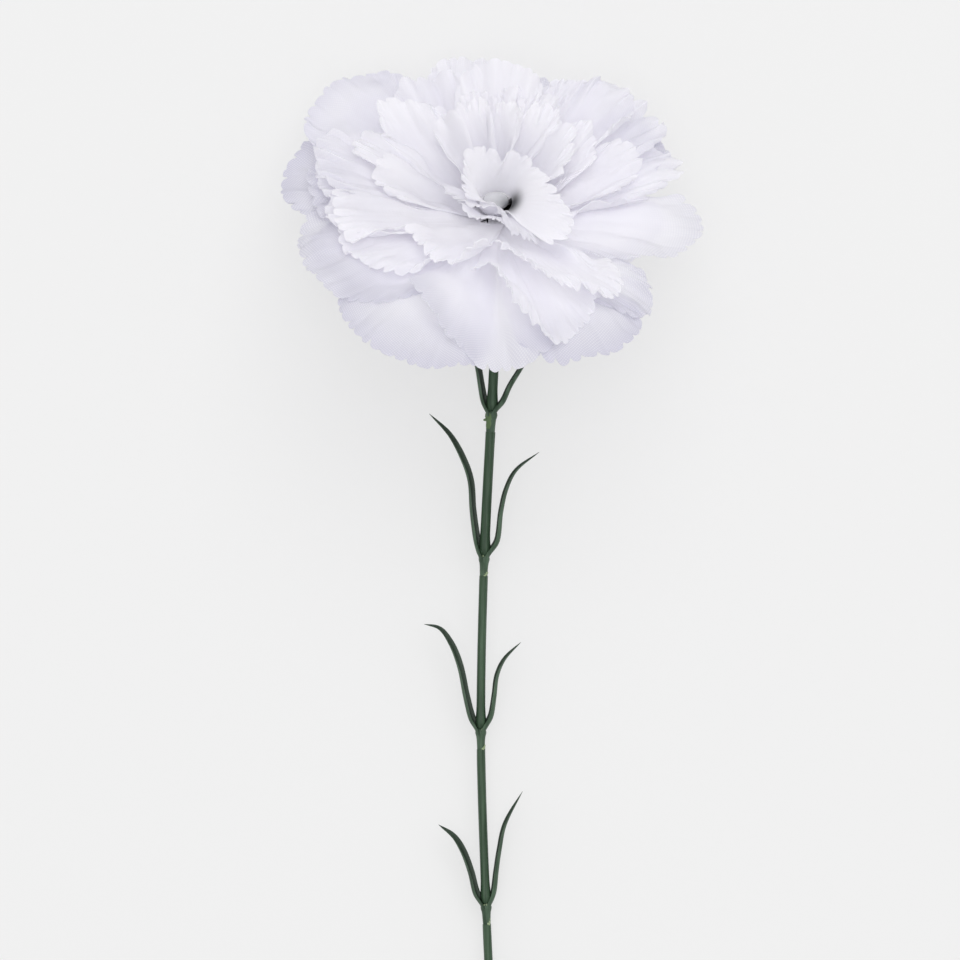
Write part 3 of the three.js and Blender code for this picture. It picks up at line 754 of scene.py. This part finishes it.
def add_piece(name, vertices, faces, material, node):
    """A smooth mesh piece in the row frame that rides on the root and stands for a CAD node."""
    mesh = bpy.data.meshes.new(name)
    places = (vertices * MM).reshape(-1, 3).tolist()
    mesh.from_pydata(places, [], [tuple(int(i) for i in face) for face in faces])
    mesh.materials.append(material)
    mesh.shade_smooth()
    piece = bpy.data.objects.new(name, mesh)
    bpy.context.scene.collection.objects.link(piece)
    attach(piece, "root")
    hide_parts(node)
    return piece


def sharpen(piece, degrees):
    """Leaves edges sharp where their faces meet at more than an angle."""
    piece.data.set_sharp_from_angle(angle=math.radians(degrees))


def map_places(piece, places):
    """Writes each vertex's place on the piece's flat map."""
    loops = np.empty(len(piece.data.loops), np.int32)
    piece.data.loops.foreach_get("vertex_index", loops)
    layer = piece.data.uv_layers.new(name=FLAT_MAP)
    layer.data.foreach_set("uv", places[loops].astype(np.float32).ravel())


def thicken(piece):
    solid = piece.modifiers.new("thickness", "SOLIDIFY")
    solid.thickness = CLOTH_THICKNESS * MM
    solid.offset = 0
    bpy.context.view_layer.objects.active = piece
    bpy.ops.object.modifier_apply(modifier=solid.name)


def make_layers():
    """The eight layers of cloth."""
    pile = Pile()
    open_weave = petal_cloth("petal_cloth_outer", weave_depth=0.36)
    plain = petal_cloth("petal_cloth", weave_depth=0.12)
    # layers 6 and 7 get painted shade at their roots, layer 8 painted shade in the throat
    inner = petal_cloth("petal_cloth_inner", weave_depth=0.12, root_painted_shade=0.2)
    painted_throat_shade = petal_cloth("petal_cloth_centre", weave_depth=0.12, painted_throat_shade=True)
    materials = [open_weave] * 2 + [plain] * 3 + [inner] * 2 + [painted_throat_shade]
    for level, petals in enumerate(LAYERS):
        rng = np.random.default_rng(FIRST_PETAL_SEED + level)
        vertices, flats, faces = layer_mesh(petals, level, pile, rng)
        name = f"petal_layer_{level + 1}"
        vertices = above_surface(from_bloom(vertices))
        piece = add_piece(f"{name}_cloth", vertices, faces, materials[level], name)
        map_places(piece, flats)
        thicken(piece)
        sharpen(piece, 50)


# ---- stem, leaf pairs, calyx and peg ----

# The stem's route has the same points as the CAD stem: a cut end, a nearly level stem and a
# bent neck that ends inside the calyx. They are given from the bloom's centre.
BLOOM_CENTRE = np.array([-1.5, 0.0, 33.78])
CALYX_LENGTH = 27.0
NECK_STRAIGHT = 5.0
ROUTE_POINTS = [
    (-3.4, 259, 1.05), (-2.6, 240, 2.3), (-1.2, 199, 3.9), (0.7, 157.7, 5.6), (1.9, 118, 7.4),
    (1.1, 76, 9.3), (-0.6, 42, 10.8), (-1.1, 32, 11.3), (-1.4, 26, 12.2),
]
NODES = [216.9, 183.2, 142.5, 101.3, 60.0, 18.7]
STEM_RADIUS = 1.0
STEM_TOP_RADIUS = 1.13
STEM_BORE = 0.5
STEM_SIDES = 30
SEAT_LENGTH = 4.6
SEAT_RADIUS = 0.74
SEAT_GAP = 0.04
SEAT_TOP = 0.15
WIRE_RADIUS = 0.33
WIRE_SIDES = 12
STEM_RIBS = 5
RIB_DEPTH = 0.04  # as a part of the stem's radius
RIB_TWIST = 0.012  # radians in a millimetre
UNEVEN_DEPTH = 0.012
CUT_EDGE = 0.9  # how much of its radius the stem keeps at the cut
RING_PITCH = 7.0

# How much thicker the stem is than its own radius, over the height above a leaf pair.
FLARE = [(0.2, -0.2), (0.5, -0.02), (1.0, 0.16), (1.8, 0.27), (2.6, 0.22), (3.8, 0.1), (6.0, 0.0)]

# Heights about a leaf pair at which the stem has rings, besides its even ones.
RING_HEIGHTS = [-8.0, -6.4, -5.2, -SEAT_LENGTH - SEAT_GAP - 0.02, -SEAT_LENGTH - SEAT_GAP + 0.01, -3.0,
                -1.5, 0.14, 0.2, 0.5, 0.8, 1.2, 1.7, 2.2, 2.8, 3.4, 4.4, 5.6]

# The outside of a leaf pair's sleeve over the stem's own radius, by height.
SLEEVE = [(-4.62, -0.1), (-4.3, -0.08), (-3.2, -0.04), (-2.4, 0.0), (-1.7, 0.08), (-1.15, 0.24),
          (-0.75, 0.32), (-0.35, 0.26), (0.0, 0.1), (0.14, 0.0)]
SLEEVE_BORE = 0.79
SLEEVE_SIDES = 28

# The spine of each leaf's back, as distances from the stem's axis and heights above the
# node: first the root that all leaves share, then the left and the right leaf of each pair.
LEAF_ROOT = [(1.16, -1.0), (1.2, -0.25), (1.6, 0.45)]
LEAVES = [
    ([(2.5, 2.2), (3.4, 6), (4.2, 10), (6.4, 18), (9.5, 24)],
     [(3.0, 2.2), (4.5, 6), (6.6, 10), (9.4, 15.5), (13, 21)]),
    ([(2.5, 3.3), (3.7, 10.5), (4.4, 17.5), (6.2, 22.5), (9.3, 28), (14, 32.8)],
     [(3.4, 3.2), (4.1, 10.5), (5.0, 15.5), (6.9, 20), (12, 24.7)]),
    ([(2.7, 2.3), (4.0, 7.6), (5.4, 15), (7.3, 20.2), (9.7, 23.6), (13.2, 24.7)],
     [(2.9, 2.8), (3.7, 7.6), (4.3, 12.6), (5.8, 16.2), (9.5, 20.4)]),
    ([(2.8, 2.5), (3.9, 7.8), (5.5, 13), (7.2, 16.2), (10.4, 19.2)],
     [(2.5, 2.6), (3.3, 7.8), (4.2, 13), (5.5, 18.5), (9.6, 26.2)]),
    ([(2.7, 2.6), (3.8, 8.5), (5.2, 14.5), (7.4, 19.5), (11.8, 24)],
     [(2.8, 2.6), (3.7, 9.5), (5.0, 16.5), (7.2, 21.5), (11, 26.4)]),
    ([(2.6, 2.4), (3.8, 7.6), (4.8, 13), (6.8, 18), (10.6, 21.8)],
     [(2.8, 2.5), (3.6, 8.2), (4.8, 13.6), (7.2, 18.4), (11.4, 22.4)]),
]
HALF_WIDTH = [(0, 1.22), (0.1, 1.3), (0.4, 1.25), (0.7, 1.12), (0.85, 0.8), (0.94, 0.42), (1, 0.06)]
HOLLOW = [(0, 1.2), (0.15, 1.25), (0.4, 1.05), (0.6, 0.85), (0.8, 0.5), (0.92, 0.2), (1, 0.03)]
LEAF_THICKNESS = [(0, 0.36), (0.2, 0.32), (0.7, 0.24), (1, 0.08)]
LEAF_STEPS = 44
LEAF_ARC = 9  # points across each face of a leaf
# How far the hollow of the left and the right leaf is turned up, in degrees, by length.
LEAF_TILTS = [[(0.35, 24), (0.75, 38)], [(0.35, 8), (0.75, 16)]]
NUB_SIDES = 7


def read_table(table, places):
    """Values of a table of (place, value) pairs, straight between them."""
    at, values = zip(*table)
    return np.interp(places, at, values)


class Route:
    """A centripetal Catmull-Rom curve through points, read by the distance along it."""

    SPAN_STEPS = 60
    TANGENT_REACH = 0.3

    def __init__(self, points):
        points = np.array(points, float)
        points = np.concatenate([[2 * points[0] - points[1]], points, [2 * points[-1] - points[-2]]])
        spans = [self.span(*points[index:index + 4]) for index in range(len(points) - 3)]
        self.line = np.concatenate([*spans, points[-2:-1]])
        self.distance = travelled(self.line)
        self.length = self.distance[-1]

    def span(self, before, first, second, after):
        pairs = ((before, first), (first, second), (second, after))
        near, step, far = (np.linalg.norm(end - start) ** 0.5 for start, end in pairs)
        middle = (second - first) / step
        leave = ((first - before) / near - (second - before) / (near + step) + middle) * step
        arrive = (middle - (after - first) / (step + far) + (after - second) / far) * step
        t = np.linspace(0, 1, self.SPAN_STEPS, endpoint=False)[:, None]
        cubic = 2 * first - 2 * second + leave + arrive
        square = 3 * second - 3 * first - 2 * leave - arrive
        return first + leave * t + square * t**2 + cubic * t**3

    def point(self, distance):
        return np.stack([np.interp(distance, self.distance, axis) for axis in self.line.T], axis=-1)

    def tangent(self, distance):
        low = np.maximum(distance - self.TANGENT_REACH, 0)
        high = np.minimum(distance + self.TANGENT_REACH, self.length)
        return unit(self.point(high) - self.point(low))

    def frame(self, distance):
        """Sideways, upwards and onwards directions at distances along the route."""
        onwards = self.tangent(distance)
        sideways = unit(BLOOM_X - onwards * onwards[..., :1])
        return sideways, np.cross(onwards, sideways), onwards

    def bent(self, points):
        """Points round a straight stem along Z, moved to the same places round the route."""
        distance = points[..., 2]
        sideways, upwards, onwards = self.frame(distance)
        beyond = distance - np.clip(distance, 0, self.length)
        return (self.point(distance) + points[..., :1] * sideways + points[..., 1:2] * upwards
                + beyond[..., None] * onwards)


def stem_route():
    neck = [BLOOM_CENTRE - BLOOM_Z * back for back in (CALYX_LENGTH, CALYX_LENGTH - NECK_STRAIGHT)]
    return Route(np.array([*ROUTE_POINTS, *neck]) + BLOOM_BASE - BLOOM_CENTRE)


def turns(sides):
    return np.linspace(0, 2 * math.pi, sides, endpoint=False)


def rings(radii, heights):
    """Rings round Z. radii is one row of radii for each height."""
    heights = np.broadcast_to(np.asarray(heights, float)[:, None], radii.shape)
    return around(radii, turns(radii.shape[1]), heights)


def round_rings(radii, heights, sides):
    return rings(np.repeat(np.array(radii)[:, None], sides, axis=1), heights)


def band_faces(rows, columns, wrap=False):
    """Faces between rings of vertices that follow each other, and back to the first if wrapped."""
    numbers = np.arange(rows * columns).reshape(rows, columns)
    numbers = np.pad(numbers, ((0, int(wrap)), (0, 1)), mode="wrap")
    return [(first, last, across, second) for first, second, across, last in quads(numbers)]


def capped(rows, columns):
    """Faces of a solid made of rings, with a flat face at each end."""
    first = tuple(reversed(range(columns)))
    last = tuple(range((rows - 1) * columns, rows * columns))
    return [first, *band_faces(rows, columns), last]


def stem_radius(distance):
    """The stem's radius with its seats and flares."""
    own = np.where(distance > NODES[1] - SEAT_LENGTH / 2, STEM_TOP_RADIUS, STEM_RADIUS)
    radius = own.copy()
    for node in NODES:
        height = distance - node
        flared = (height > SEAT_TOP) & (height <= FLARE[-1][0])
        radius[flared] = own[flared] + read_table(FLARE, height[flared])
        radius[(height > -SEAT_LENGTH - SEAT_GAP) & (height <= SEAT_TOP)] = SEAT_RADIUS
    return radius


def stem_distances(length):
    """Where the stem has rings: evenly, and closely at every leaf pair."""
    low, high = RING_HEIGHTS[0], FLARE[-1][0]
    places = [*np.arange(RING_PITCH, length, RING_PITCH), 0.25, 0.6, length]
    clear = [place for place in places if all(not low < place - node < high for node in NODES)]
    clear += [node + height for node in NODES for height in RING_HEIGHTS]
    return np.array(sorted([0.0, *clear]))


def make_stem(route):
    distance = stem_distances(route.length)
    turn = turns(STEM_SIDES)
    ribs = 1 + RIB_DEPTH * np.cos(STEM_RIBS * turn + RIB_TWIST * distance[:, None])
    uneven = 1 + UNEVEN_DEPTH * np.sin(0.9 * distance[:, None] + 2 * turn)
    outer = stem_radius(distance)[:, None] * ribs * uneven
    outer[0] *= CUT_EDGE
    bore = np.full(outer.shape, STEM_BORE)
    solid = route.bent(np.concatenate([rings(outer, distance), rings(bore, distance)[::-1]]))
    faces = band_faces(2 * len(distance), STEM_SIDES, wrap=True)
    piece = add_piece("stem_tube", solid, faces, stem_plastic(), "stem")
    sharpen(piece, 40)


def make_wire(route):
    """The steel wire, snipped to a blunt wedge at the cut end."""
    distance = np.array([0.04, 0.3, 0.7, *np.arange(4, route.length, 4.0), route.length])
    solid = round_rings([WIRE_RADIUS] * len(distance), distance, WIRE_SIDES)
    solid[0, :, 1] *= 0.25
    solid[1, :, 1] *= 0.8
    faces = capped(len(distance), WIRE_SIDES)
    piece = add_piece("stem_wire_core", route.bent(solid), faces, wire_steel(), "stem_wire")
    sharpen(piece, 40)


def marked(vertices, mark, faces):
    """A solid's vertices, their places on the leaf pair's map, all at one mark, and its faces."""
    vertices = np.reshape(vertices, (-1, 3))
    return vertices, np.full((len(vertices), 2), mark), faces


def leaf_solid(spine, tilt, rng):
    """Vertices, map places and faces of a channelled leaf, outwards on X from the node."""
    spine = Route([(x, 0, z) for x, z in (*LEAF_ROOT, *spine)])
    along = np.linspace(0, 1, LEAF_STEPS + 1) ** 1.15
    centre = spine.point(along * spine.length)
    onwards = spine.tangent(along * spine.length)
    centre[:, 1] += 0.6 * along * np.sin(math.pi * along * rng.uniform(1.2, 1.8) + rng.uniform(0, 6))
    lean = np.radians(read_table(tilt, along))[:, None]
    straight = np.stack([onwards[:, 2], np.zeros(len(along)), -onwards[:, 0]], axis=1)
    across = np.array([[0.0, 1.0, 0.0]])
    outwards = straight * np.cos(lean) - across * np.sin(lean)
    widthways = across * np.cos(lean) + straight * np.sin(lean)
    half, hollow = read_table(HALF_WIDTH, along), read_table(HOLLOW, along)
    radius = (half**2 + hollow**2) / (2 * hollow)
    half_angle = np.arctan2(half, radius - hollow)
    inner = radius - np.minimum(read_table(LEAF_THICKNESS, along), 0.8 * radius)
    place = np.linspace(-1, 1, LEAF_ARC)
    vertices, marks = [], []
    for arc, reach, mark in ((radius, place, BACK), (inner, 0.95 * place[::-1], INSIDE)):
        angle = half_angle[:, None] * reach
        out = (arc[:, None] * np.cos(angle) - radius[:, None])[..., None]
        wide = (arc[:, None] * np.sin(angle))[..., None]
        vertices.append(centre[:, None] + out * outwards[:, None] + wide * widthways[:, None])
        marks.append(np.full(angle.shape, mark))
    vertices = np.concatenate(vertices, axis=1).reshape(-1, 3)
    marks = np.concatenate(marks, axis=1)
    places = np.stack([marks, np.broadcast_to(along[:, None], marks.shape)], axis=-1)
    return vertices, places.reshape(-1, 2), capped(len(along), 2 * LEAF_ARC)


def sleeve_solid(own):
    """The ring of plastic round the stem below two leaves."""
    heights, outer = np.array(SLEEVE).T
    radii = [*(own + outer), SLEEVE_BORE, SLEEVE_BORE]
    heights = [*heights, heights[-1], heights[0]]
    faces = band_faces(len(radii), SLEEVE_SIDES, wrap=True)
    return marked(round_rings(radii, heights, SLEEVE_SIDES), SLEEVE_SKIN, faces)


def scar_solid(own, middle, half_angle, low, high, rng):
    """A thin torn flake of plastic on the sleeve, in degrees round it and by height."""
    rows, columns = 9, 7
    height = np.linspace(low, high, rows)
    edge = 1 + 0.35 * rng.uniform(-1, 1, (rows, 2))
    edge[[0, -1]] *= 0.5
    share = np.stack([np.linspace(-left, right, columns) for left, right in edge])
    turn = np.radians(middle) + np.radians(half_angle) * share
    skin = own + read_table(SLEEVE, height)[:, None]
    lift = 0.07 + 0.06 * rng.uniform(-1, 1, (rows, columns))
    heights = np.broadcast_to(height[:, None], turn.shape)
    upper, under = around(skin + lift, turn, heights), around(skin - 0.1, turn, heights)
    return marked(np.concatenate([upper, under[:, ::-1]], axis=1), SCAR, capped(rows, 2 * columns))


def nub_solid(own, middle, height, length, mark, rng):
    """A short spur of torn plastic that stands out from the sleeve."""
    turn = math.radians(middle)
    out = np.array([math.cos(turn), math.sin(turn), rng.uniform(-0.5, 0.1)])
    over = np.array([-math.sin(turn), math.cos(turn), 0])
    around = turns(NUB_SIDES)[:, None]
    section = np.cos(around) * over + 1.2 * np.sin(around) * np.cross(out, over)
    sections = []
    for share, size in ((-0.3, 0.34), (0.25, 0.26), (0.7, 0.2), (1.0, 0.07)):
        centre = out * (own + length * share) + np.array([0, 0, height])
        size = size * (1 + 0.25 * rng.uniform(-1, 1, NUB_SIDES))[:, None]
        sections.append(centre + size * section)
    return marked(sections, mark, capped(len(sections), NUB_SIDES))


def joined(solids):
    """Several closed solids as one list of vertices, map places and faces."""
    faces = []
    count = 0
    for vertices, _, own_faces in solids:
        faces += [[number + count for number in face] for face in own_faces]
        count += len(vertices)
    vertices, places, _ = zip(*solids)
    return np.concatenate(vertices), np.concatenate(places), faces


def torn_plastic(index, own, rng):
    """What is left on a sleeve where the leaf pair was cut from its frame."""
    torn = []
    if index == 0:
        torn.append(scar_solid(own, 55, 48, -3.9, -0.25, rng))
        torn.append(nub_solid(own, 16, -1.7, 0.75, SCAR, rng))
    else:
        side = rng.uniform(108, 128)
        for step in range(4):
            length = rng.uniform(0.14, 0.26)
            torn.append(nub_solid(own - 0.12, side + 14 * step, 0.32 * step - 4.5, length, SPECK, rng))
    for turn in (70, 96, 118):
        torn.append(nub_solid(own, turn + rng.uniform(-8, 8), -0.1, 0.16, SPECK, rng))
    return torn


def make_leaf_pair(index, route, material):
    rng = np.random.default_rng(FIRST_LEAF_SEED + index)
    node = NODES[index]
    own = STEM_TOP_RADIUS if index == 0 else STEM_RADIUS
    origin = route.point(np.array(node))
    frame_axes = np.array(route.frame(np.array(node)))
    solids = []
    for side, (spine, tilt) in enumerate(zip(LEAVES[index], LEAF_TILTS)):
        vertices, places, faces = leaf_solid(spine, tilt, rng)
        if side == 1:
            vertices = vertices * [-1, 1, 1]
            faces = [tuple(reversed(face)) for face in faces]
        solids.append((vertices @ frame_axes + origin, places, faces))
    for vertices, places, faces in (sleeve_solid(own), *torn_plastic(index, own, rng)):
        solids.append((route.bent(vertices + [0, 0, node]), places, faces))
    vertices, places, faces = joined(solids)
    name = f"leaf_pair_{index + 1}"
    piece = add_piece(f"{name}_leaves", vertices, faces, material, name)
    map_places(piece, places)
    sharpen(piece, 38)


# The calyx and the peg, as (radius, height) in the bloom's frame.
CALYX_SIDES = 90
CALYX_TEETH = 5
CALYX_RIBS = 15
TOOTH_DEPTH = 3.4
TOOTH_FOOT = -5.4
CALYX_OUTSIDE = [(2.0, -27), (2.15, -26.9), (2.45, -26.3), (3.1, -25.1), (3.85, -23.8), (4.3, -22),
                 (4.6, -20), (4.85, -17.6), (5.1, -14.8), (5.3, -12), (5.6, -9), (5.85, -6.2), (6.1, -4.4),
                 (6.25, -3), (6.38, -1.8), (6.45, -0.9), (6.35, -0.35)]
CALYX_INSIDE = [(6.05, -0.35), (5.95, -0.9), (5.85, -1.8), (5.6, -3), (5.3, -4.4), (5, -5.4), (1.3, -5.4),
                (1.3, -15.3)]
CALYX_SOCKET = [(1.45, -21), (1.45, -27)]
PEG = [(0.6, -15), (0.85, -14.6), (0.9, -14), (0.9, 6.5), (1.2, 6.76), (2.85, 6.78), (3.0, 6.95),
       (2.96, 7.3), (2.7, 7.58), (1.5, 7.64), (0.8, 7.5), (0.3, 7.46)]
PEG_SIDES = 32


def calyx_faces():
    """The cup and its socket are each a run of rings, closed off inside and joined at the foot."""
    cup = len(CALYX_OUTSIDE) + len(CALYX_INSIDE)
    end = cup * CALYX_SIDES
    faces = band_faces(cup, CALYX_SIDES)
    faces += [[number + end for number in face] for face in band_faces(2, CALYX_SIDES)]
    faces.append(range(end - CALYX_SIDES, end)[::-1])
    faces.append(range(end, end + CALYX_SIDES)[::-1])
    foot = end + CALYX_SIDES
    for column in range(CALYX_SIDES):
        beside = (column + 1) % CALYX_SIDES
        faces.append((beside, column, foot + column, foot + beside))
    return faces


def make_calyx():
    """A ribbed cup with pointed teeth that hold the outer petals."""
    radii, heights = np.array([*CALYX_OUTSIDE, *CALYX_INSIDE, *CALYX_SOCKET]).T[:, :, None]
    turn = turns(CALYX_SIDES)
    tooth = np.abs(np.cos(0.5 * CALYX_TEETH * turn))
    over = np.clip((heights - TOOTH_FOOT) / 5.05, 0, 1)
    outer = (np.arange(len(radii)) < len(CALYX_OUTSIDE))[:, None]
    rib = 0.07 * np.cos(CALYX_RIBS * turn) + 0.09 * np.exp(-(((1 - tooth) / 0.02) ** 2))
    rib = rib * outer * np.clip((heights + 26) / 4, 0, 1)
    flare = 0.5 * over**2 * tooth**6
    points = rings(radii + rib + flare, heights[:, 0])
    points[..., 2] -= TOOTH_DEPTH * (1 - tooth) * over
    points = from_bloom(points)
    piece = add_piece("calyx_cup", points, calyx_faces(), calyx_plastic(), "calyx")
    face_outwards(piece)
    sharpen(piece, 48)


def make_peg():
    radii, heights = zip(*PEG)
    points = from_bloom(round_rings(radii, heights, PEG_SIDES))
    faces = capped(len(PEG), PEG_SIDES)
    piece = add_piece("petal_peg_head", points, faces, peg_plastic(), "petal_peg")
    sharpen(piece, 40)


def face_outwards(piece):
    """Turns every face of a closed piece outwards."""
    mesh = bmesh.new()
    mesh.from_mesh(piece.data)
    bmesh.ops.recalc_face_normals(mesh, faces=mesh.faces)
    mesh.to_mesh(piece.data)
    mesh.free()


# ---- surface, light and camera ----

CAMERA_HEIGHT = 1.2
CAMERA_TARGET = (0.0036, -0.0491)
LENS = 191
SENSOR = 36
SURFACE_SIZE = 6
SURFACE_GREY = 0.3
SURFACE_GLOW = 0.541
WORLD_STRENGTH = 0.735


def put_in_scene(name, data):
    thing = bpy.data.objects.new(name, data)
    bpy.context.scene.collection.objects.link(thing)
    return thing


def surface():
    bpy.ops.mesh.primitive_plane_add(size=SURFACE_SIZE)
    plane = bpy.context.active_object
    plane.name = "surface"
    pale = Shading("surface", (SURFACE_GREY, SURFACE_GREY, SURFACE_GREY), 0.9, 0.1)
    pale.fill(pale.shader, {"Emission Color": (1, 1, 1, 1), "Emission Strength": SURFACE_GLOW})
    plane.data.materials.append(pale.material)


def light(name, place, size, power):
    data = bpy.data.lights.new(name, "AREA")
    data.shape = "DISK"
    data.size = size
    data.energy = power
    lamp = put_in_scene(name, data)
    lamp.location = place
    lamp.rotation_euler = (-Vector(place)).to_track_quat("-Z", "Y").to_euler()


def camera():
    data = bpy.data.cameras.new("camera")
    data.lens = LENS
    data.sensor_width = SENSOR
    view = put_in_scene("camera", data)
    view.location = (*CAMERA_TARGET, CAMERA_HEIGHT)
    view.rotation_euler = (0, 0, math.pi)
    bpy.context.scene.camera = view


def world():
    sky = bpy.data.worlds.new("studio")
    bpy.context.scene.world = sky
    sky.use_nodes = True
    background = sky.node_tree.nodes["Background"]
    background.inputs["Color"].default_value = (1, 1, 1, 1)
    background.inputs["Strength"].default_value = WORLD_STRENGTH


def build():
    make_layers()
    route = stem_route()
    make_stem(route)
    make_wire(route)
    leaf_material = leaf_plastic()
    for index in range(len(NODES)):
        make_leaf_pair(index, route, leaf_material)
    make_calyx()
    make_peg()
    surface()
    world()
    light("key", (-0.25, -1.1, 2.0), 2.0, 17.0)
    light("fill", (0.1, 0.1, 2.2), 1.2, 7.5)
    camera()
    bpy.context.scene.view_settings.view_transform = "Standard"
    bpy.context.scene.cycles.max_bounces = 24
    bpy.context.scene.cycles.diffuse_bounces = 16
    bpy.context.scene.cycles.transmission_bounces = 16


build()
